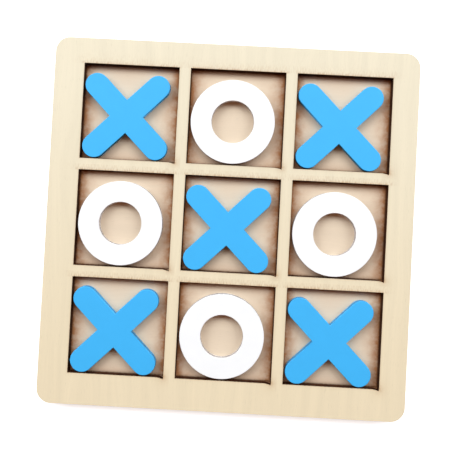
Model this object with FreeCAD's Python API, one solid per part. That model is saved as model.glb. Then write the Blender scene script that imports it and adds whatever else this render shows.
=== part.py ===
"""Tic tac toe set: a flat board of two glued plywood sheets and nine loose playing pieces.

The lower sheet is plain. The upper sheet has nine square openings, which make nine wells. Five wells hold
a flat cross, and four hold a flat ring. Every playing piece lies loose on the floor of its well, nudged
towards one corner of it.

The frame: +Z up, the origin under the middle of the board on the surface that it stands on, +X to the
right and +Y away from the player. All lengths are in millimetres.
"""

import FreeCAD, Part
import math
import os

# Sheet material
SHEET_THICKNESS = 3.0
PAINT_THICKNESS = 0.05

# Board
BOARD_WIDTH = 150.8
BOARD_DEPTH = 151.0
BOARD_CORNER_RADIUS = 6.0
GLUE_THICKNESS = 0.1
GLUE_SETBACK = 1.0  # the glue stops this far short of every cut edge

# Wells
WELLS_PER_SIDE = 3
WELL_PITCH = 44.1
WELL_OPENING = 39.2
WELLS_OFFSET_X = 0.7  # the wells were cut a little off the middle of the sheet
WELLS_OFFSET_Y = 1.2
NICK_LENGTH = 3.6  # where each well's cut ends, its near edge runs out towards the right corner
NICK_DEPTH = 0.7

# Playing pieces
PIECE_THICKNESS = SHEET_THICKNESS + 2 * PAINT_THICKNESS
PIECE_EDGE_RADIUS = 0.25
CROSS_ARM_WIDTH = 9.8
CROSS_TIP_REACH = 17.9  # from the middle of the cross to the centre of each round tip
RING_OUTER_RADIUS = 17.4
RING_INNER_RADIUS = 8.7
PIECE_NUDGE_X = -1.4  # from the middle of the well to the middle of the piece
PIECE_NUDGE_Y = -1.7

# The game as it lies, far row first
LAYOUT = ("XOX", "OXO", "XOX")

# Heights of the layers' undersides
GLUE_LEVEL = SHEET_THICKNESS
UPPER_SHEET_LEVEL = GLUE_LEVEL + GLUE_THICKNESS
WELL_FLOOR_LEVEL = SHEET_THICKNESS


def rounded_plate(setback, thickness, level):
    """A plate with the board's outline, drawn back by setback, with its underside at level."""
    width = BOARD_WIDTH - 2 * setback
    depth = BOARD_DEPTH - 2 * setback
    plate = Part.makeBox(width, depth, thickness, FreeCAD.Vector(-width / 2, -depth / 2, level))
    upright_edges = [edge for edge in plate.Edges if abs(edge.tangentAt(edge.FirstParameter).z) > 0.5]
    return plate.makeFillet(BOARD_CORNER_RADIUS - setback, upright_edges)


def all_wells():
    """The row and column of every well, in reading order."""
    return [(row, column) for row in range(WELLS_PER_SIDE) for column in range(WELLS_PER_SIDE)]


def well_middle(row, column):
    """The middle of a well, at the height of the table. Row 0 is the far row, and column 0 the left one."""
    middle_index = (WELLS_PER_SIDE - 1) / 2
    x = (column - middle_index) * WELL_PITCH + WELLS_OFFSET_X
    y = (middle_index - row) * WELL_PITCH + WELLS_OFFSET_Y
    return FreeCAD.Vector(x, y, 0.0)


def well_block(row, column, grow, thickness, level):
    """The block that leaves one well when it is cut from a sheet, grown by grow on all four sides."""
    opening = WELL_OPENING + 2 * grow
    corner = well_middle(row, column) + FreeCAD.Vector(-opening / 2, -opening / 2, level)
    return Part.makeBox(opening, opening, thickness, corner)


def nick_block(row, column, thickness, level):
    """The thin wedge that is also cut away at the right end of a well's near edge."""
    half_opening = WELL_OPENING / 2
    corner = well_middle(row, column) + FreeCAD.Vector(half_opening, -half_opening, level)
    start = corner - FreeCAD.Vector(NICK_LENGTH, 0.0, 0.0)
    tip = corner - FreeCAD.Vector(0.0, NICK_DEPTH, 0.0)
    outline = Part.makePolygon([start, tip, corner, start])
    return Part.Face(outline).extrude(FreeCAD.Vector(0.0, 0.0, thickness))


def base_board():
    """The plain lower sheet, whose upper face is the floor of the wells."""
    return rounded_plate(0.0, SHEET_THICKNESS, 0.0)


def glue_film():
    """The dried glue between the two sheets."""
    film = rounded_plate(GLUE_SETBACK, GLUE_THICKNESS, GLUE_LEVEL)
    return film.cut([well_block(*well, GLUE_SETBACK, GLUE_THICKNESS, GLUE_LEVEL) for well in all_wells()])


def grid_board():
    """The upper sheet with the nine square openings."""
    sheet = rounded_plate(0.0, SHEET_THICKNESS, UPPER_SHEET_LEVEL)
    wells = [well_block(*well, 0.0, SHEET_THICKNESS, UPPER_SHEET_LEVEL) for well in all_wells()]
    nicks = [nick_block(*well, SHEET_THICKNESS, UPPER_SHEET_LEVEL) for well in all_wells()]
    return sheet.cut(wells + nicks).removeSplitter()


def level_direction(degrees):
    """A level vector of length 1, at an angle from +X."""
    angle = math.radians(degrees)
    return FreeCAD.Vector(math.cos(angle), math.sin(angle), 0.0)


def cross_outline():
    """The outline of a cross with four equal arms at right angles and half-round tips."""
    half_width = CROSS_ARM_WIDTH / 2
    inner_corner_reach = half_width * math.sqrt(2)
    edges = []
    for arm_angle in (45, 135, 225, 315):
        along = level_direction(arm_angle)
        across = level_direction(arm_angle + 90)
        tip_centre = along * CROSS_TIP_REACH
        tip_start = tip_centre - across * half_width
        tip_top = tip_centre + along * half_width
        tip_end = tip_centre + across * half_width
        edges.append(Part.makeLine(level_direction(arm_angle - 45) * inner_corner_reach, tip_start))
        edges.append(Part.Arc(tip_start, tip_top, tip_end).toShape())
        edges.append(Part.makeLine(tip_end, level_direction(arm_angle + 45) * inner_corner_reach))
    return Part.Wire(edges)


def with_soft_edges(piece):
    """The piece with the edges of its two flat faces slightly rounded, as sanding and paint leave them."""
    flat_faces = [face for face in piece.Faces if abs(face.normalAt(0, 0).z) > 0.5]
    rim_edges = [edge for face in flat_faces for edge in face.Edges]
    return piece.makeFillet(PIECE_EDGE_RADIUS, rim_edges)


def cross_piece():
    """One cross, centred on the origin and standing on the table."""
    cross = Part.Face(cross_outline()).extrude(FreeCAD.Vector(0.0, 0.0, PIECE_THICKNESS))
    return with_soft_edges(cross)


def ring_piece():
    """One ring, centred on the origin and standing on the table."""
    disc = Part.makeCylinder(RING_OUTER_RADIUS, PIECE_THICKNESS)
    hole = Part.makeCylinder(RING_INNER_RADIUS, PIECE_THICKNESS)
    return with_soft_edges(disc.cut(hole))


def playing_pieces():
    """Every playing piece in its well, by name. Each kind is numbered in reading order."""
    kinds = {"X": ("x_piece", cross_piece), "O": ("o_piece", ring_piece)}
    pieces = {}
    for row, column in all_wells():
        kind_name, make_piece = kinds[LAYOUT[row][column]]
        number = 1 + sum(name.startswith(kind_name) for name in pieces)
        nudge = FreeCAD.Vector(PIECE_NUDGE_X, PIECE_NUDGE_Y, WELL_FLOOR_LEVEL)
        piece = make_piece()
        piece.translate(well_middle(row, column) + nudge)
        pieces[f"{kind_name}_{number}"] = piece
    return pieces


def main():
    parts = {"base_board": base_board(), "glue_film": glue_film(), "grid_board": grid_board()}
    parts.update(playing_pieces())
    os.makedirs("parts", exist_ok=True)
    for name, shape in parts.items():
        if not shape.isValid():
            raise ValueError(f"{name} is not a valid solid")
        shape.exportStep(f"parts/{name}.step")
        print(f"{name}: {len(shape.Solids)} solid, {shape.Volume / 1000:.3f} cm3")


main()
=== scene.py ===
"""Looks of a plywood tic tac toe set: a board with nine wells, painted crosses and painted rings."""

import math

import bpy
from bpy.props import FloatProperty, FloatVectorProperty, IntProperty, PointerProperty
from bpy.types import Operator, Panel, PropertyGroup
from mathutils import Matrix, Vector


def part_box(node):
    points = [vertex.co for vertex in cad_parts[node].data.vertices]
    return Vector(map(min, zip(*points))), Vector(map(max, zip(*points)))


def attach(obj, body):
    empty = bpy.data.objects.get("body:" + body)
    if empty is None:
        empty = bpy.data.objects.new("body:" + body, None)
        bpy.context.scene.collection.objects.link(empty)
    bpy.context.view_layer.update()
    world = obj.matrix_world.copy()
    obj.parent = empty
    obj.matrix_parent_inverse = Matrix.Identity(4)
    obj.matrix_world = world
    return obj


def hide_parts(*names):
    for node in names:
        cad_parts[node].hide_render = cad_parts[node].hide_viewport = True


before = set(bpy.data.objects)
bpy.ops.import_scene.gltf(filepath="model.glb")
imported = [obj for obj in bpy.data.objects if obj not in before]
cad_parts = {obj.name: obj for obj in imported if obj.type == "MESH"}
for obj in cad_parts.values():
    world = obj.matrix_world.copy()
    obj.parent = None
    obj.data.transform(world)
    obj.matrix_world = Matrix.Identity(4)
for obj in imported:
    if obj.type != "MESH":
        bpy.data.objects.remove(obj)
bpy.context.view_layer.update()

bl_info = {
    "name": "Tic Tac Toe Set",
    "version": (1, 0, 0),
    "blender": (4, 5, 0),
    "location": "3D View > Sidebar > Tic Tac Toe",
    "description": "Builds a laser-cut plywood tic tac toe board with its painted crosses and rings",
    "category": "Add Mesh",
}

MM = 0.001

# Places read from the parts in model.glb
SHEET_LOW, SHEET_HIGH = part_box("base_board")
GRID_LOW, GRID_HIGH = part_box("grid_board")
PIECE_LOW, PIECE_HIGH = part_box("x_piece_3")
PIECE_MIDDLE = (PIECE_LOW + PIECE_HIGH) / 2
WELL_PITCH = (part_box("x_piece_2")[0].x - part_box("x_piece_1")[0].x) / 2
RING_LOW, RING_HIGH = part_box("o_piece_1")
CROSSES = [name for name in sorted(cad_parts) if name.startswith("x_piece")]
RINGS = [name for name in sorted(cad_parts) if name.startswith("o_piece")]
WELLS_PER_SIDE = 3

# Fineness of the curves
CORNER_STEPS = 14
TIP_STEPS = 24
RING_RIM_POINTS = 128
RING_HOLE_POINTS = 96
SOFT_EDGE_STEPS = 3
WELL_SIDE_CUTS = 43  # extra points along each side of a well, for the nick to bend

GROOVE_SPREAD = 0.06  # from the middle of a groove to its lip, as a share of the sheet's thickness

# Points closer than this, in metres, become one
SAME_PLACE = 1e-7
ARM_ENDS_MEET = 1e-6

# Degrees round from straight beyond the board, degrees up, width in metres, share of the power
SOFTBOXES = {
    "softbox_left": (-58, 35, 0.85, 0.37),
    "softbox_beyond": (0, 52, 1.4, 0.31),
    "softbox_right": (58, 35, 0.85, 0.32),
}
SOFTBOX_HEIGHT = 0.7  # in metres
TABLE_REACH = 1.5  # from the middle of the table to each side, in metres
NEAREST_SEEN = 10 * MM


# ---------------------------------------------------------------- settings


class BoardSettings(PropertyGroup):
    """Sizes and colours of the two plywood sheets."""

    corner_radius: FloatProperty(
        name="Corner radius", description="Radius of the board's four corners", default=6 * MM, unit="LENGTH"
    )
    well_opening: FloatProperty(
        name="Well opening", description="Side of each square well", default=39.2 * MM, unit="LENGTH"
    )
    piece_nudge: FloatVectorProperty(
        name="Piece nudge",
        description="How far each loose piece lies from the middle of its well",
        size=2,
        default=(-1.4 * MM, -1.7 * MM),
        unit="LENGTH",
    )
    nick_length: FloatProperty(
        name="Nick length",
        description="Stretch over which the near edge of a well runs out towards the right",
        default=3.6 * MM,
        unit="LENGTH",
    )
    nick_depth: FloatProperty(
        name="Nick depth",
        description="How far the near edge of a well has run out at its right corner",
        default=0.7 * MM,
        unit="LENGTH",
    )
    edge_softness: FloatProperty(
        name="Edge softness",
        description="Radius that light sanding leaves along the rims",
        default=0.12 * MM,
        unit="LENGTH",
    )
    kerf_taper: FloatProperty(
        name="Kerf taper",
        description="How much further back the top of a laser-cut wall stands than its foot",
        default=0.06 * MM,
        unit="LENGTH",
    )
    glue_line_depth: FloatProperty(
        name="Glue line depth",
        description="Depth of the groove burnt out between two veneers",
        default=0.05 * MM,
        unit="LENGTH",
    )
    veneers: IntProperty(name="Veneers", description="Number of veneers in a sheet", default=3, min=1)
    # Painted light: the upper sheet's wood turns paler and cooler from its near side to its far side, where
    # the softboxes shine from beyond the board.
    wood_near_painted_shade: FloatVectorProperty(
        name="Near wood",
        description="Colour of the upper sheet's wood along its near side",
        size=3,
        subtype="COLOR",
        default=(0.765, 0.65, 0.455),
    )
    wood_far_painted_light: FloatVectorProperty(
        name="Far wood",
        description="Colour of the upper sheet's wood along its far side",
        size=3,
        subtype="COLOR",
        default=(0.75, 0.675, 0.515),
    )
    floor_wood: FloatVectorProperty(
        name="Well floor",
        description="Colour of the lower sheet's wood",
        size=3,
        subtype="COLOR",
        default=(0.70, 0.57, 0.43),
    )
    # Painted shade: the colour that darkens and reddens the well floors near the walls, where they lie in
    # shade.
    floor_shade_tone: FloatVectorProperty(
        name="Floor stain",
        description="Colour of the well floors where smoke has crept in from the walls",
        size=3,
        subtype="COLOR",
        default=(0.46, 0.20, 0.085),
    )
    scorch: FloatVectorProperty(
        name="Scorch",
        description="Colour of the burnt cut edges",
        size=3,
        subtype="COLOR",
        default=(0.032, 0.0095, 0.0025),
    )
    stain: FloatVectorProperty(
        name="Stain",
        description="Colour of the wood that smoke has tanned",
        size=3,
        subtype="COLOR",
        default=(0.40, 0.20, 0.07),
    )


class PieceSettings(PropertyGroup):
    """Sizes and colours of the loose playing pieces."""

    arm_width: FloatProperty(
        name="Arm width", description="Width of a cross's arms", default=9.8 * MM, unit="LENGTH"
    )
    tip_reach: FloatProperty(
        name="Tip reach",
        description="From the middle of a cross to the centre of each round tip",
        default=17.9 * MM,
        unit="LENGTH",
    )
    ring_hole: FloatProperty(
        name="Ring hole", description="Diameter of a ring's hole", default=17.4 * MM, unit="LENGTH"
    )
    edge_softness: FloatProperty(
        name="Edge softness", description="Radius of a piece's painted rims", default=0.22 * MM, unit="LENGTH"
    )
    cross_paint: FloatVectorProperty(
        name="Cross paint",
        description="Colour of the crosses",
        size=3,
        subtype="COLOR",
        default=(0.045, 0.425, 0.84),
    )
    ring_paint: FloatVectorProperty(
        name="Ring paint",
        description="Colour of the rings",
        size=3,
        subtype="COLOR",
        default=(0.88, 0.885, 0.89),
    )
    cross_cover: FloatProperty(
        name="Cross cover",
        description="How well paint covers the sides of the crosses",
        default=0.42,
        min=0,
        max=1,
    )
    ring_cover: FloatProperty(
        name="Ring cover",
        description="How well paint covers the sides of the rings",
        default=0.22,
        min=0,
        max=1,
    )
    side_groove: FloatProperty(
        name="Side groove",
        description="Depth of the groove left between two veneers under the paint",
        default=0.015 * MM,
        unit="LENGTH",
    )


class StageSettings(PropertyGroup):
    """Floor, light and camera."""

    floor_tone: FloatVectorProperty(
        name="Floor", description="Colour of the table", size=3, subtype="COLOR", default=(0.9, 0.9, 0.9)
    )
    box_power: FloatProperty(
        name="Softboxes", description="Power of the three softboxes together", default=40.5, unit="POWER"
    )
    box_tone: FloatVectorProperty(
        name="Softbox colour",
        description="Colour of the softboxes",
        size=3,
        subtype="COLOR",
        default=(0.85, 0.95, 1.0),
    )
    box_distance: FloatProperty(
        name="Softbox distance", description="From the board to each softbox", default=1.4, unit="LENGTH"
    )
    fill_tone: FloatVectorProperty(
        name="Fill",
        description="Colour of the light from all around",
        size=3,
        subtype="COLOR",
        default=(1.0, 0.38, 0.16),
    )
    fill_strength: FloatProperty(
        name="Fill strength", description="Strength of the light from all around", default=0.19, min=0
    )
    backdrop_tone: FloatVectorProperty(
        name="Backdrop",
        description="Colour seen beyond the table",
        size=3,
        subtype="COLOR",
        default=(1.0, 1.0, 1.0),
    )
    glow: FloatProperty(
        name="Table glow",
        description="Strength of the light that comes up through the table",
        default=0.7,
        min=0,
    )
    camera_place: FloatVectorProperty(
        name="Camera place",
        description="Where the camera hangs over the board, measured from the top of the board",
        size=3,
        default=(0.9 * MM, 10.9 * MM, 234 * MM),
        unit="LENGTH",
    )
    camera_turn: FloatVectorProperty(
        name="Camera turn",
        description="How the camera is turned from looking straight down",
        size=3,
        subtype="EULER",
        default=(math.radians(1.05), math.radians(0.53), math.radians(2.99)),
    )
    camera_shift: FloatVectorProperty(
        name="Camera shift",
        description="How far the view is shifted right and up, as a share of its width",
        size=2,
        default=(0.005, -0.084),
    )
    lens: FloatProperty(name="Lens", description="Focal length in millimetres", default=44.67, min=1)


# ---------------------------------------------------------------- node trees


class Wire:
    """A value that runs through a node tree. Arithmetic on it adds Math nodes."""

    def __init__(self, tree, socket):
        self.tree = tree
        self.socket = socket

    def output(self, name):
        """Another output of the same node."""
        return Wire(self.tree, self.socket.node.outputs[name])

    def __add__(self, other):
        return self.tree.maths("ADD", self, other)

    def __radd__(self, other):
        return self.tree.maths("ADD", other, self)

    def __sub__(self, other):
        return self.tree.maths("SUBTRACT", self, other)

    def __rsub__(self, other):
        return self.tree.maths("SUBTRACT", other, self)

    def __mul__(self, other):
        return self.tree.maths("MULTIPLY", self, other)

    def __rmul__(self, other):
        return self.tree.maths("MULTIPLY", other, self)

    def __truediv__(self, other):
        return self.tree.maths("DIVIDE", self, other)

    def __neg__(self):
        return self.tree.maths("MULTIPLY", self, -1)

    def __abs__(self):
        return self.tree.maths("ABSOLUTE", self)

    def __gt__(self, other):
        return self.tree.maths("GREATER_THAN", self, other)

    def __lt__(self, other):
        return self.tree.maths("LESS_THAN", self, other)


class Tree:
    """Adds nodes to a geometry or shader node tree."""

    def __init__(self, node_tree):
        self.node_tree = node_tree

    def node(self, kind, settings=None, inputs=None, output=0):
        """Adds a node, with its settings made first, and returns one of its outputs."""
        node = self.node_tree.nodes.new(kind)
        for name, value in (settings or {}).items():
            setattr(node, name, value)
        for key, value in (inputs or {}).items():
            if isinstance(value, Wire):
                self.node_tree.links.new(value.socket, node.inputs[key])
            else:
                node.inputs[key].default_value = value
        return Wire(self, node.outputs[output]) if node.outputs else None

    def maths(self, operation, first, second=None):
        """A Math node on one or two values."""
        inputs = {0: first}
        if second is not None:
            inputs[1] = second
        return self.node("ShaderNodeMath", {"operation": operation}, inputs)

    def smaller(self, first, second):
        return self.maths("MINIMUM", first, second)

    def larger(self, first, second):
        return self.maths("MAXIMUM", first, second)

    def length(self, x, y):
        """The length of a level vector."""
        return self.maths("SQRT", x * x + y * y)

    def vector(self, x=0.0, y=0.0, z=0.0):
        return self.node("ShaderNodeCombineXYZ", None, {0: x, 1: y, 2: z})

    def vector_maths(self, operation, first, second):
        return self.node("ShaderNodeVectorMath", {"operation": operation}, {0: first, 1: second})

    def scaled(self, vector, scale):
        return self.node("ShaderNodeVectorMath", {"operation": "SCALE"}, {"Vector": vector, "Scale": scale})

    def ramp(self, value, start, end, to_start=0.0, to_end=1.0):
        """A smooth step from to_start to to_end as value goes from start to end."""
        inputs = {"Value": value, 1: start, 2: end, 3: to_start, 4: to_end}
        return self.node("ShaderNodeMapRange", {"interpolation_type": "SMOOTHSTEP"}, inputs)

    def noise(self, vector, detail=2.0, roughness=0.5):
        """Smooth noise from 0 to 1 whose blobs are about 1 unit of vector across."""
        inputs = {"Vector": vector, "Scale": 1.0, "Detail": detail, "Roughness": roughness}
        return self.node("ShaderNodeTexNoise", {"noise_dimensions": "3D"}, inputs)

    def blend(self, factor, first, second, kind="MIX"):
        """A mix of two colours, which may be wires or tuples."""
        settings = {"data_type": "RGBA", "blend_type": kind}
        inputs = {0: factor, 6: colour(first), 7: colour(second)}
        return self.node("ShaderNodeMix", settings, inputs, output=2)


def colour(value):
    """A colour with its alpha, or the wire unchanged."""
    return value if isinstance(value, Wire) else (*tuple(value)[:3], 1.0)


# ---------------------------------------------------------------- materials
#
# Lengths in a finish are in millimetres. The factor on a coordinate that goes into noise is about the number
# of blobs per millimetre, so a small factor along the wood and a large one across it give long thin fibres.


class Finish(Tree):
    """A material being built, with its place on the object in millimetres."""

    def __init__(self, name):
        self.material = bpy.data.materials.new(name)
        self.material.use_nodes = True
        super().__init__(self.material.node_tree)
        self.shader = self.node_tree.nodes["Principled BSDF"]
        place = self.node("ShaderNodeTexCoord", output="Object")
        split = self.node("ShaderNodeSeparateXYZ", None, {0: self.scaled(place, 1 / MM)})
        self.x = split
        self.y = split.output("Y")
        self.z = split.output("Z")
        upright = self.node("ShaderNodeSeparateXYZ", None, {0: place.output("Normal")}).output("Z")
        self.wall = self.ramp(abs(upright), 0.35, 0.75, 1.0, 0.0)

    def constant(self, **values):
        """Sets the shader's own sockets."""
        for name, value in values.items():
            self.shader.inputs[name.replace("_", " ")].default_value = value

    def surface(self, base_colour, roughness, height, bump_distance):
        """Joins what changes over the surface to the shader. height is in millimetres."""
        inputs = {"Height": height, "Distance": bump_distance, "Strength": 1.0}
        bump = self.node("ShaderNodeBump", None, inputs)
        links = {"Base Color": base_colour, "Roughness": roughness, "Normal": bump}
        for name, wire in links.items():
            self.node_tree.links.new(wire.socket, self.shader.inputs[name])
        return self.material


def wells_fold(finish, middle):
    """Level coordinates from the middle of the nearest well, or of its piece, in millimetres."""
    pitch = WELL_PITCH / MM
    last = (WELLS_PER_SIDE - 1) / 2
    folded = []
    for axis, centre in ((finish.x, middle.x / MM), (finish.y, middle.y / MM)):
        from_centre = axis - centre
        index = finish.maths("ROUND", from_centre / pitch)
        index = finish.smaller(finish.larger(index, -last), last)
        folded.append(from_centre - index * pitch)
    return folded


def outside_wells(finish, board, middle):
    """How far a point is from the nearest wall of a well, in millimetres, negative over the well."""
    half = board.well_opening / MM / 2
    across, along = wells_fold(finish, middle)
    beyond_x = abs(across) - half
    beyond_y = abs(along) - half
    corner = finish.length(finish.larger(beyond_x, 0.0), finish.larger(beyond_y, 0.0))
    return corner + finish.smaller(finish.larger(beyond_x, beyond_y), 0.0)


def wood_grain(finish, across, along, shift):
    """Grain of a rotary-cut veneer. Returns its tone from 0 to 1, its pores, and its relief."""
    warp = finish.noise(finish.vector(across * 0.05, along * 0.012, shift), 2.0)
    bent = across + (warp - 0.5) * 16
    figure = finish.maths("SINE", bent * 0.9) * 0.5 + 0.5
    bands = finish.noise(finish.vector(bent * 0.16, along * 0.008, shift + 3), 3.0)
    streaks = finish.noise(finish.vector(bent * 1.1, along * 0.022, shift + 7), 3.0, 0.6)
    fibres = finish.noise(finish.vector(across * 4.2, along * 0.09, shift + 11), 3.0, 0.65)
    pore_field = finish.noise(finish.vector(across * 5.5, along * 0.32, shift + 17), 1.0)
    pores = finish.ramp(pore_field, 0.66, 0.78)
    tone = bands * 0.34 + streaks * 0.34 + fibres * 0.24 + figure * 0.08
    relief = fibres * 0.6 + streaks * 0.4 - pores * 0.8
    return tone, pores, relief


def scorched_edge(finish, level, thickness, veneers):
    """Burnt wall of a laser cut, veneer by veneer. Returns its lightness from 0 to 1 and its relief."""
    height = (finish.z - level / MM) / (thickness / MM) * veneers
    ply = finish.maths("FLOOR", height)
    from_line = abs(height - finish.maths("ROUND", height))
    glue_line = finish.ramp(from_line, 0.03, 0.10, 1.0, 0.0)
    middle_ply = finish.maths("MODULO", ply, 2)
    ridges = finish.noise(finish.vector(finish.x * 5, finish.y * 5, finish.z * 0.35), 2.0)
    patches = finish.noise(finish.vector(finish.x * 0.35, finish.y * 0.35, finish.z * 0.5), 2.0)
    lightness = ridges * 0.5 + patches * 0.5 - glue_line * 0.45 - middle_ply * 0.16
    return lightness, ridges - glue_line * 0.6


def rim_marks(finish, board, middle, ragged):
    """Marks of the laser on the upper sheet. Returns how smoke-stained and how burnt each place is."""
    wells = outside_wells(finish, board, middle)
    across_well, along_well = wells_fold(finish, middle)
    half = board.well_opening / MM / 2
    from_corner = finish.length(across_well - half, along_well + half)
    pierced = finish.maths("EXPONENT", from_corner * -0.75) * (0.1 + ragged * 0.9)
    strokes = finish.noise(finish.vector(finish.x * 3.2, finish.y * 0.5, finish.z), 3.0, 0.6)
    at_far_end = finish.ramp(along_well - half, -0.4, 0.2)
    drawn = finish.ramp(strokes, 0.40, 0.66) * finish.maths("EXPONENT", wells * -0.6) * at_far_end * 0.55
    stain = finish.maths("EXPONENT", wells * -2.6) * (0.1 + ragged * 0.5) + pierced + drawn
    rim = finish.ramp(wells + (ragged - 0.5) * 0.10, 0.05, 0.17, 1.0, 0.0)
    return stain, finish.larger(rim, finish.wall)


def floor_painted_shade(finish, board, middle, ragged):
    """Painted shade on the well floors. Returns a warm darkening near the walls, and a dark line at their
    foot joined with the burnt cut sides.
    """
    wells = outside_wells(finish, board, middle)
    across_well, _ = wells_fold(finish, middle)
    half = board.well_opening / MM / 2
    from_side = abs(abs(across_well) - half)
    blotches = finish.noise(finish.vector(finish.x * 0.3, finish.y * 0.3, finish.z), 3.0, 0.6)
    # Painted shade, stronger along the left and right walls of each well, in blotches.
    sides = finish.maths("EXPONENT", from_side * -0.3) * finish.ramp(blotches, 0.3, 0.7, 0.25, 0.95)
    # Painted shade that fades away from every wall.
    stain = finish.maths("EXPONENT", abs(wells) * -0.45) * (0.3 + ragged * 0.4) + sides * 1.05
    # Painted shade: a dark line on the floor at the foot of each wall.
    foot = finish.maths("EXPONENT", abs(wells) * -2.6) * (0.55 + ragged * 0.7)
    return stain, finish.larger(finish.smaller(foot, 1.0), finish.wall)


def plywood(name, board, wood_near_painted_shade, wood_far_painted_light, stain_and_shade_tone, along_y, level, middle):
    """Pale sanded plywood with laser-burnt edges; a haze of scorch along the upper sheet's well rims, painted
    shade near the lower sheet's walls.
    """
    finish = Finish(name)
    across, along = (finish.x, finish.y) if along_y else (finish.y, finish.x)
    tone, pores, relief = wood_grain(finish, across, along, level / MM)
    thickness = SHEET_HIGH.z - SHEET_LOW.z
    edge_light, edge_relief = scorched_edge(finish, level, thickness, board.veneers)

    reach = SHEET_HIGH.y / MM
    # Painted light: the wood colour runs from the near tone to the paler, cooler far tone across the board.
    wood = finish.blend(finish.ramp(finish.y, -reach, reach), wood_near_painted_shade, wood_far_painted_light)
    grain = finish.blend(tone, (0.87, 0.87, 0.87), (1.11, 1.11, 1.11))
    pale = finish.blend(1.0, wood, grain, "MULTIPLY")
    pale = finish.blend(pores * 0.28, pale, Vector(wood_near_painted_shade) * 0.5)

    ragged = finish.noise(finish.vector(finish.x * 1.4, finish.y * 1.4, finish.z), 3.0)
    # The lower sheet gets painted shade near its walls in place of laser marks.
    marks_and_shade = rim_marks if along_y else floor_painted_shade  # the grain runs along y in the upper sheet only
    stain, burnt = marks_and_shade(finish, board, middle, ragged)
    scorch = Vector(board.scorch)
    edge_tone = finish.blend(finish.ramp(edge_light, 0.1, 0.8), scorch * 0.4, scorch * 3.0)
    # On the lower sheet the stain tone and its amount are painted shade; on the upper sheet they are smoke
    # stain.
    tanned = finish.blend(finish.smaller(stain, 1.0), pale, Vector(stain_and_shade_tone))
    # On the lower sheet, burnt also carries a painted dark line of shade at the foot of the walls.
    base = finish.blend(burnt, tanned, edge_tone)

    roughness = 0.64 + relief * 0.1 + burnt * 0.2
    height = relief * (1 - burnt) * 0.012 + edge_relief * burnt * 0.05
    finish.constant(Specular_IOR_Level=0.12)
    return finish.surface(base, roughness, height, MM)


def painted(name, tone, cover, board):
    """Matt paint on a plywood piece, thin on its burnt cut sides. cover says how well it hides them."""
    finish = Finish(name)
    thickness = PIECE_HIGH.z - PIECE_LOW.z
    edge_light, edge_relief = scorched_edge(finish, PIECE_LOW.z, thickness, board.veneers)
    ragged = finish.noise(finish.vector(finish.x * 2.2, finish.y * 2.2, finish.z), 3.0)
    mottle = finish.noise(finish.vector(finish.x * 0.16, finish.y * 0.16, finish.z), 3.0)
    stipple = finish.noise(finish.vector(finish.x * 2.6, finish.y * 2.6, finish.z), 3.0, 0.6)
    _, _, relief = wood_grain(finish, finish.x, finish.y, 40)
    tone = Vector(tone)
    paint = finish.blend(mottle * 0.7 + stipple * 0.3, tone * 0.95, tone * 1.04)
    thin = finish.ramp(edge_light + (ragged - 0.5) * 0.5 + cover, 0.35, 0.95, 0.85, 0.0)
    bare = thin * finish.wall
    scorch = Vector(board.scorch)
    edge_tone = finish.blend(edge_light, scorch * 2, scorch * 9)
    base = finish.blend(bare, paint, edge_tone)
    roughness = 0.5 + stipple * 0.14 + bare * 0.3
    height = stipple * 0.014 + relief * 0.006 + edge_relief * finish.wall * 0.05
    finish.constant(Specular_IOR_Level=0.35)
    return finish.surface(base, roughness, height, MM)


def glue_finish():
    """Dried wood glue."""
    finish = Finish("dried_wood_glue")
    blobs = finish.noise(finish.vector(finish.x * 0.6, finish.y * 0.6, finish.z), 3.0)
    base = finish.blend(blobs, (0.62, 0.47, 0.24), (0.8, 0.68, 0.42))
    return finish.surface(base, 0.25 + blobs * 0.2, blobs * 0.03, MM)


def table_finish(tone, glow):
    """A plain pale table top with light behind it."""
    finish = Finish("pale_table")
    finish.constant(Emission_Color=(1.0, 1.0, 1.0, 1.0), Emission_Strength=glow)
    cloud = finish.noise(finish.vector(finish.x * 0.01, finish.y * 0.01), 2.0)
    tone = Vector(tone)
    base = finish.blend(cloud, tone * 0.99, tone * 1.01)
    return finish.surface(base, 0.7 + cloud * 0.05, cloud * 0.001, MM)


# ---------------------------------------------------------------- geometry trees


class Growth(Tree):
    """A geometry node tree with named inputs for its sizes."""

    def __init__(self, name, **sizes):
        super().__init__(bpy.data.node_groups.new(name, "GeometryNodeTree"))
        interface = self.node_tree.interface
        interface.new_socket("Geometry", in_out="OUTPUT", socket_type="NodeSocketGeometry")
        self.sizes = {}
        for label, value in sizes.items():
            kind = {int: "NodeSocketInt", float: "NodeSocketFloat"}.get(type(value), "NodeSocketVector")
            socket = interface.new_socket(label, in_out="INPUT", socket_type=kind)
            socket.default_value = value
            self.sizes[label] = (socket.identifier, value)
        self.entry = self.node_tree.nodes.new("NodeGroupInput")

    def size(self, label):
        """One of the tree's named inputs."""
        return Wire(self, self.entry.outputs[label])


def soft_profile(thickness, softness, groove, taper, veneers):
    """The edge of a laser-cut sheet from foot to rim, as (height, inset) pairs."""
    profile = []
    for step in range(SOFT_EDGE_STEPS + 1):
        angle = math.pi / 2 * step / SOFT_EDGE_STEPS
        profile.append((softness * (1 - math.cos(angle)), softness * (1 - math.sin(angle))))
    for line in range(1, veneers):
        height = thickness * line / veneers
        for offset, inset in ((-GROOVE_SPREAD, 0.0), (0.0, 1.0), (GROOVE_SPREAD, 0.0)):
            profile.append((height + thickness * offset, groove * inset))
    for step in range(SOFT_EDGE_STEPS + 1):
        angle = math.pi / 2 * step / SOFT_EDGE_STEPS
        profile.append((thickness - softness * (1 - math.sin(angle)), softness * (1 - math.cos(angle))))
    return [(height, inset + taper * height / thickness) for height, inset in profile]


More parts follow.
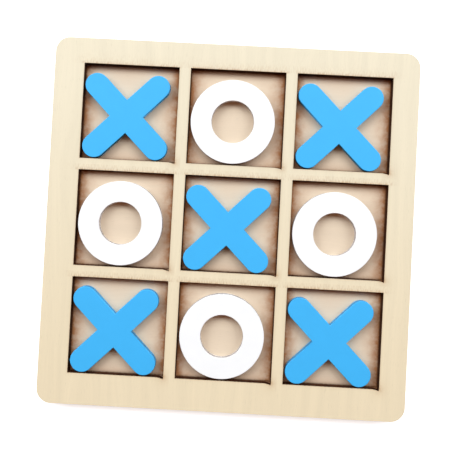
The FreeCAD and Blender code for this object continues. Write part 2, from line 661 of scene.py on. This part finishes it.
def raised(tree, outline, level, profile):
    """Nodes that fill a flat outline and raise it along a profile into a closed plate."""
    flat = tree.node("GeometryNodeFillCurve", {"mode": "TRIANGLES"}, {"Curve": outline})
    face_count = tree.node("GeometryNodeInputMeshEdgeNeighbors")
    one_face = {2: face_count, 3: 1}
    rim = tree.node("FunctionNodeCompare", {"data_type": "INT", "operation": "EQUAL"}, one_face)
    fence = tree.node(
        "GeometryNodeExtrudeMesh",
        {"mode": "EDGES"},
        {"Mesh": flat, "Selection": rim, "Offset": (0, 0, 1), "Offset Scale": 1.0},
    )
    wall = tree.node(
        "GeometryNodeSeparateGeometry",
        {"domain": "FACE"},
        {"Geometry": fence, "Selection": fence.output("Side")},
    )
    place = tree.node("GeometryNodeInputPosition")
    nearest = tree.node(
        "GeometryNodeSampleNearest", {"domain": "POINT"}, {"Geometry": wall, "Sample Position": place}
    )
    inward = tree.node(
        "GeometryNodeSampleIndex",
        {"data_type": "FLOAT_VECTOR", "domain": "POINT"},
        {"Geometry": wall, "Value": tree.node("GeometryNodeInputNormal"), "Index": nearest},
    )
    flat = tree.node(
        "GeometryNodeStoreNamedAttribute",
        {"data_type": "FLOAT_VECTOR", "domain": "POINT"},
        {"Geometry": flat, "Name": "inward", "Value": inward},
    )
    inward = tree.node("GeometryNodeInputNamedAttribute", {"data_type": "FLOAT_VECTOR"}, {"Name": "inward"})

    def drawn_in(geometry, inset, rise, selection=True):
        offset = tree.vector_maths("ADD", tree.scaled(inward, inset), tree.vector(0.0, 0.0, rise))
        inputs = {"Geometry": geometry, "Selection": selection, "Offset": offset}
        return tree.node("GeometryNodeSetPosition", None, inputs)

    height, inset = profile[0]
    plate = drawn_in(flat, inset, level + height)
    foot = tree.node("GeometryNodeFlipFaces", None, {"Mesh": plate})
    top = True
    for next_height, next_inset in profile[1:]:
        plate = tree.node(
            "GeometryNodeExtrudeMesh",
            {"mode": "FACES"},
            {
                "Mesh": plate,
                "Selection": top,
                "Offset": (0, 0, 1),
                "Offset Scale": next_height - height,
                "Individual": False,
            },
        )
        top = plate.output("Top")
        plate = drawn_in(plate, next_inset - inset, 0.0, top)
        height, inset = next_height, next_inset
    shell = joined(tree, plate, foot)
    return tree.node("GeometryNodeMergeByDistance", None, {"Geometry": shell, "Distance": SAME_PLACE})


def joined(tree, *geometries):
    """All of these geometries as one."""
    node = tree.node("GeometryNodeJoinGeometry")
    for geometry in geometries:
        tree.node_tree.links.new(geometry.socket, node.socket.node.inputs[0])
    return node


def level_normal(tree):
    """A field that is true on the flat upper and lower faces."""
    normal = tree.node("GeometryNodeInputNormal")
    upright = tree.node("ShaderNodeSeparateXYZ", None, {0: normal}).output("Z")
    return abs(upright) > 0.999


def plain_object(tree, geometry, name, material):
    """Ends the tree and turns its result into a plain mesh object at the origin."""
    soft = tree.node(
        "GeometryNodeSetShadeSmooth",
        {"domain": "FACE"},
        {"Geometry": geometry, "Shade Smooth": 1 - level_normal(tree)},
    )
    real = tree.node("GeometryNodeRealizeInstances", None, {"Geometry": soft})
    coated = tree.node("GeometryNodeSetMaterial", None, {"Geometry": real, "Material": material})
    exit_node = tree.node_tree.nodes.new("NodeGroupOutput")
    tree.node_tree.links.new(coated.socket, exit_node.inputs[0])

    holder = bpy.data.objects.new(name, bpy.data.meshes.new(name))
    bpy.context.scene.collection.objects.link(holder)
    modifier = holder.modifiers.new(name, "NODES")
    modifier.node_group = tree.node_tree
    for identifier, value in tree.sizes.values():
        modifier[identifier] = value
    depsgraph = bpy.context.evaluated_depsgraph_get()
    mesh = bpy.data.meshes.new_from_object(holder.evaluated_get(depsgraph), depsgraph=depsgraph)
    holder.modifiers.remove(modifier)
    holder.data = mesh
    mesh.name = name
    return holder


def sheet_outline(tree):
    """The board's outline with its round corners."""
    rectangle = tree.node(
        "GeometryNodeCurvePrimitiveQuadrilateral",
        {"mode": "RECTANGLE"},
        {"Width": tree.size("Width"), "Height": tree.size("Depth")},
    )
    return tree.node(
        "GeometryNodeFilletCurve",
        {"mode": "POLY"},
        {"Curve": rectangle, "Count": CORNER_STEPS, "Radius": tree.size("Corner radius")},
    )


def well_outlines(tree):
    """The outlines of all the wells. The near edge of each runs out towards its right corner."""
    opening = tree.size("Well opening")
    square = tree.node(
        "GeometryNodeCurvePrimitiveQuadrilateral",
        {"mode": "RECTANGLE"},
        {"Width": opening, "Height": opening},
    )
    square = tree.node("GeometryNodeSubdivideCurve", None, {"Curve": square, "Cuts": WELL_SIDE_CUTS})
    place = tree.node("ShaderNodeSeparateXYZ", None, {0: tree.node("GeometryNodeInputPosition")})
    nick_length = tree.size("Nick length")
    along = (place - (opening * 0.5 - nick_length)) / nick_length
    along = tree.larger(along, 0.0)
    near = place.output("Y") < opening * -0.499  # the near edge itself lies at -0.5
    drop = along * along * near * tree.size("Nick depth")
    inputs = {"Geometry": square, "Offset": tree.vector(0.0, -drop)}
    square = tree.node("GeometryNodeSetPosition", None, inputs)
    span = tree.size("Well pitch") * (WELLS_PER_SIDE - 1)
    middles = tree.node(
        "GeometryNodeMeshGrid",
        None,
        {"Size X": span, "Size Y": span, "Vertices X": WELLS_PER_SIDE, "Vertices Y": WELLS_PER_SIDE},
    )
    inputs = {"Geometry": middles, "Offset": tree.size("Wells middle")}
    middles = tree.node("GeometryNodeSetPosition", None, inputs)
    wells = tree.node("GeometryNodeInstanceOnPoints", None, {"Points": middles, "Instance": square})
    return tree.node("GeometryNodeRealizeInstances", None, {"Geometry": wells})


def moved(tree, outline):
    """The outline at the middle of its piece."""
    middle = tree.node("ShaderNodeSeparateXYZ", None, {0: tree.size("Middle")})
    place = tree.vector(middle, middle.output("Y"))
    return tree.node("GeometryNodeTransform", None, {"Geometry": outline, "Translation": place})


def cross_outline(tree):
    """The outline of a cross: one arm, turned four times."""
    half_width = tree.size("Arm width") * 0.5
    index = tree.node("GeometryNodeInputIndex")
    share = tree.smaller(tree.larger((index - 1) / TIP_STEPS, 0.0), 1.0)
    angle = (share - 0.5) * math.pi
    inner = abs(index - (TIP_STEPS / 2 + 1)) > TIP_STEPS / 2 + 0.5
    tip = tree.size("Tip reach") + half_width * tree.maths("COSINE", angle)
    x = half_width * inner + tip * (1 - inner)
    y = half_width * tree.maths("SINE", angle)
    arm = tree.node("GeometryNodeMeshLine", {"mode": "OFFSET"}, {"Count": TIP_STEPS + 3})
    arm = tree.node("GeometryNodeSetPosition", None, {"Geometry": arm, "Position": tree.vector(x, y)})
    turns = tree.node("GeometryNodePoints", None, {"Count": 4})
    turn = (index + 0.5) * (math.pi / 2)
    rotation = tree.node("FunctionNodeEulerToRotation", None, {0: tree.vector(0.0, 0.0, turn)})
    inputs = {"Points": turns, "Instance": arm, "Rotation": rotation}
    arms = tree.node("GeometryNodeInstanceOnPoints", None, inputs)
    arms = tree.node("GeometryNodeRealizeInstances", None, {"Geometry": arms})
    arms = tree.node("GeometryNodeMergeByDistance", None, {"Geometry": arms, "Distance": ARM_ENDS_MEET})
    outline = tree.node("GeometryNodeMeshToCurve", None, {"Mesh": arms})
    return moved(tree, outline)


def ring_outline(tree):
    """The two circles of a ring."""
    circles = []
    for label, points in (("Ring width", RING_RIM_POINTS), ("Ring hole", RING_HOLE_POINTS)):
        inputs = {"Resolution": points, "Radius": tree.size(label) * 0.5}
        circles.append(tree.node("GeometryNodeCurvePrimitiveCircle", {"mode": "RADIUS"}, inputs))
    return moved(tree, joined(tree, *circles))


def edge_profile(tree, veneers):
    """The soft, tapered and grooved edge that every sheet and playing piece has."""
    return soft_profile(
        tree.size("Thickness"),
        tree.size("Edge softness"),
        tree.size("Glue line depth"),
        tree.size("Kerf taper"),
        veneers,
    )


def sheet_sizes(board):
    """The named inputs that both sheets have."""
    size = SHEET_HIGH - SHEET_LOW
    return {
        "Width": size.x,
        "Depth": size.y,
        "Thickness": size.z,
        "Corner radius": board.corner_radius,
        "Edge softness": board.edge_softness,
        "Glue line depth": board.glue_line_depth,
        "Kerf taper": board.kerf_taper,
    }


def wells_middle(board):
    """The middle of the middle well."""
    nudge = Vector((*board.piece_nudge, 0.0))
    middle = PIECE_MIDDLE - nudge
    return Vector((middle.x, middle.y, 0.0))


def settle(piece, body, slot, *nodes):
    """Gives a finished piece its body and hides the nodes that it stands for. slot is not used."""
    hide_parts(*nodes)
    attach(piece, body)


def build_pieces(kind, nodes, own_sizes, outline, material, slot, board, pieces):
    """Builds all the playing pieces of one kind, from that kind's own sizes and outline."""
    for number, node in enumerate(nodes, start=1):
        low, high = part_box(node)
        shared_sizes = {
            "Middle": tuple((low + high) / 2),
            "Thickness": high.z - low.z,
            "Edge softness": pieces.edge_softness,
            "Glue line depth": pieces.side_groove,
            "Kerf taper": board.kerf_taper,
        }
        tree = Growth(kind, **own_sizes, **shared_sizes)
        plate = raised(tree, outline(tree), low.z, edge_profile(tree, board.veneers))
        settle(plain_object(tree, plate, f"{kind}_{number}", material), node, slot, node)


# ---------------------------------------------------------------- operators


class TTT_OT_lower_sheet(Operator):
    """Build the plain lower sheet"""

    bl_idname = "tic_tac_toe.lower_sheet"
    bl_label = "Lower Sheet"

    def execute(self, context):
        board = context.scene.game_board
        tree = Growth("plain_sheet", **sheet_sizes(board))
        plate = raised(tree, sheet_outline(tree), SHEET_LOW.z, edge_profile(tree, board.veneers))
        # The third tone is painted shade for the floors near the walls.
        tones = (board.floor_wood, board.floor_wood, board.floor_shade_tone)
        material = plywood("floor_plywood", board, *tones, False, SHEET_LOW.z, wells_middle(board))
        settle(plain_object(tree, plate, "lower_sheet", material), "board", "plywood", "base_board")
        return {"FINISHED"}


class TTT_OT_upper_sheet(Operator):
    """Build the upper sheet with its nine wells"""

    bl_idname = "tic_tac_toe.upper_sheet"
    bl_label = "Upper Sheet"

    def execute(self, context):
        board = context.scene.game_board
        sizes = sheet_sizes(board)
        sizes["Well opening"] = board.well_opening
        sizes["Well pitch"] = WELL_PITCH
        sizes["Wells middle"] = tuple(wells_middle(board))
        sizes["Nick length"] = board.nick_length
        sizes["Nick depth"] = board.nick_depth
        tree = Growth("sheet_with_wells", **sizes)
        outlines = joined(tree, sheet_outline(tree), well_outlines(tree))
        plate = raised(tree, outlines, GRID_LOW.z, edge_profile(tree, board.veneers))
        # The near and far tones paint light falling from beyond the board; the last tone is the smoke stain.
        tones = (board.wood_near_painted_shade, board.wood_far_painted_light, board.stain)
        material = plywood("grid_plywood", board, *tones, True, GRID_LOW.z, wells_middle(board))
        settle(plain_object(tree, plate, "upper_sheet", material), "board", "plywood", "grid_board")
        return {"FINISHED"}


class TTT_OT_glue(Operator):
    """Give the glue between the sheets its finish"""

    bl_idname = "tic_tac_toe.glue"
    bl_label = "Glue"

    def execute(self, context):
        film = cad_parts["glue_film"]
        film.data.materials.clear()
        film.data.materials.append(glue_finish())
        return {"FINISHED"}


class TTT_OT_crosses(Operator):
    """Build the blue crosses"""

    bl_idname = "tic_tac_toe.crosses"
    bl_label = "Crosses"

    def execute(self, context):
        board = context.scene.game_board
        pieces = context.scene.game_pieces
        material = painted("sky_blue_paint", pieces.cross_paint, pieces.cross_cover, board)
        sizes = {"Arm width": pieces.arm_width, "Tip reach": pieces.tip_reach}
        build_pieces("cross", CROSSES, sizes, cross_outline, material, "blue_paint", board, pieces)
        return {"FINISHED"}


class TTT_OT_rings(Operator):
    """Build the white rings"""

    bl_idname = "tic_tac_toe.rings"
    bl_label = "Rings"

    def execute(self, context):
        board = context.scene.game_board
        pieces = context.scene.game_pieces
        material = painted("white_paint", pieces.ring_paint, pieces.ring_cover, board)
        sizes = {"Ring width": RING_HIGH.x - RING_LOW.x, "Ring hole": pieces.ring_hole}
        build_pieces("ring", RINGS, sizes, ring_outline, material, "white_paint", board, pieces)
        return {"FINISHED"}


class TTT_OT_stage(Operator):
    """Set up the table, the light and the camera"""

    bl_idname = "tic_tac_toe.stage"
    bl_label = "Stage"

    def execute(self, context):
        scene = context.scene
        stage = scene.game_stage
        mesh = bpy.data.meshes.new("table")
        corners = [(x * TABLE_REACH, y * TABLE_REACH, 0) for x, y in ((-1, -1), (1, -1), (1, 1), (-1, 1))]
        mesh.from_pydata(corners, [], [(0, 1, 2, 3)])
        mesh.materials.append(table_finish(stage.floor_tone, stage.glow))
        table = bpy.data.objects.new("table", mesh)
        scene.collection.objects.link(table)

        for name, (turn, rise, width, share) in SOFTBOXES.items():
            light = bpy.data.lights.new(name, "AREA")
            light.energy = stage.box_power * share
            light.color = stage.box_tone
            light.shape = "RECTANGLE"
            light.size = width
            light.size_y = SOFTBOX_HEIGHT
            lamp = bpy.data.objects.new(name, light)
            level = math.cos(math.radians(rise))
            azimuth = math.radians(turn)
            upward = math.sin(math.radians(rise))
            heading = Vector((math.sin(azimuth) * level, math.cos(azimuth) * level, upward))
            lamp.location = heading * stage.box_distance
            lamp.rotation_euler = heading.to_track_quat("Z", "Y").to_euler()
            scene.collection.objects.link(lamp)

        world = bpy.data.worlds.new("soft_room")
        world.use_nodes = True
        background = world.node_tree.nodes["Background"]
        room = Tree(world.node_tree)
        in_sight = room.node("ShaderNodeLightPath", output="Is Camera Ray")
        tone = room.blend(in_sight, stage.fill_tone, stage.backdrop_tone)
        strength = in_sight * (1 - stage.fill_strength) + stage.fill_strength
        world.node_tree.links.new(tone.socket, background.inputs["Color"])
        world.node_tree.links.new(strength.socket, background.inputs["Strength"])
        scene.world = world
        scene.view_settings.view_transform = "Standard"

        camera = bpy.data.cameras.new("camera")
        camera.lens = stage.lens
        camera.shift_x, camera.shift_y = stage.camera_shift
        camera.clip_start = NEAREST_SEEN
        camera_object = bpy.data.objects.new("camera", camera)
        camera_object.location = Vector(stage.camera_place) + Vector((0, 0, GRID_HIGH.z))
        camera_object.rotation_euler = stage.camera_turn
        scene.collection.objects.link(camera_object)
        scene.camera = camera_object
        return {"FINISHED"}


class TTT_PT_sidebar(Panel):
    """Lists the pieces of the tic tac toe set"""

    bl_idname = "TTT_PT_sidebar"
    bl_label = "Tic Tac Toe Set"
    bl_space_type = "VIEW_3D"
    bl_region_type = "UI"
    bl_category = "Tic Tac Toe"

    def draw(self, context):
        for step in STEPS:
            self.layout.operator(step.bl_idname)
        for settings in (context.scene.game_board, context.scene.game_pieces, context.scene.game_stage):
            box = self.layout.box()
            for name in settings.__annotations__:
                box.prop(settings, name)


STEPS = (TTT_OT_lower_sheet, TTT_OT_upper_sheet, TTT_OT_glue, TTT_OT_crosses, TTT_OT_rings, TTT_OT_stage)
CLASSES = (BoardSettings, PieceSettings, StageSettings, *STEPS, TTT_PT_sidebar)
SETTINGS = {"game_board": BoardSettings, "game_pieces": PieceSettings, "game_stage": StageSettings}


def register():
    for cls in CLASSES:
        bpy.utils.register_class(cls)
    for name, group in SETTINGS.items():
        setattr(bpy.types.Scene, name, PointerProperty(type=group))


def unregister():
    for name in SETTINGS:
        delattr(bpy.types.Scene, name)
    for cls in reversed(CLASSES):
        bpy.utils.unregister_class(cls)


def main():
    register()
    bpy.ops.tic_tac_toe.lower_sheet()
    bpy.ops.tic_tac_toe.upper_sheet()
    bpy.ops.tic_tac_toe.glue()
    bpy.ops.tic_tac_toe.crosses()
    bpy.ops.tic_tac_toe.rings()
    bpy.ops.tic_tac_toe.stage()


if __name__ == "__main__":
    main()
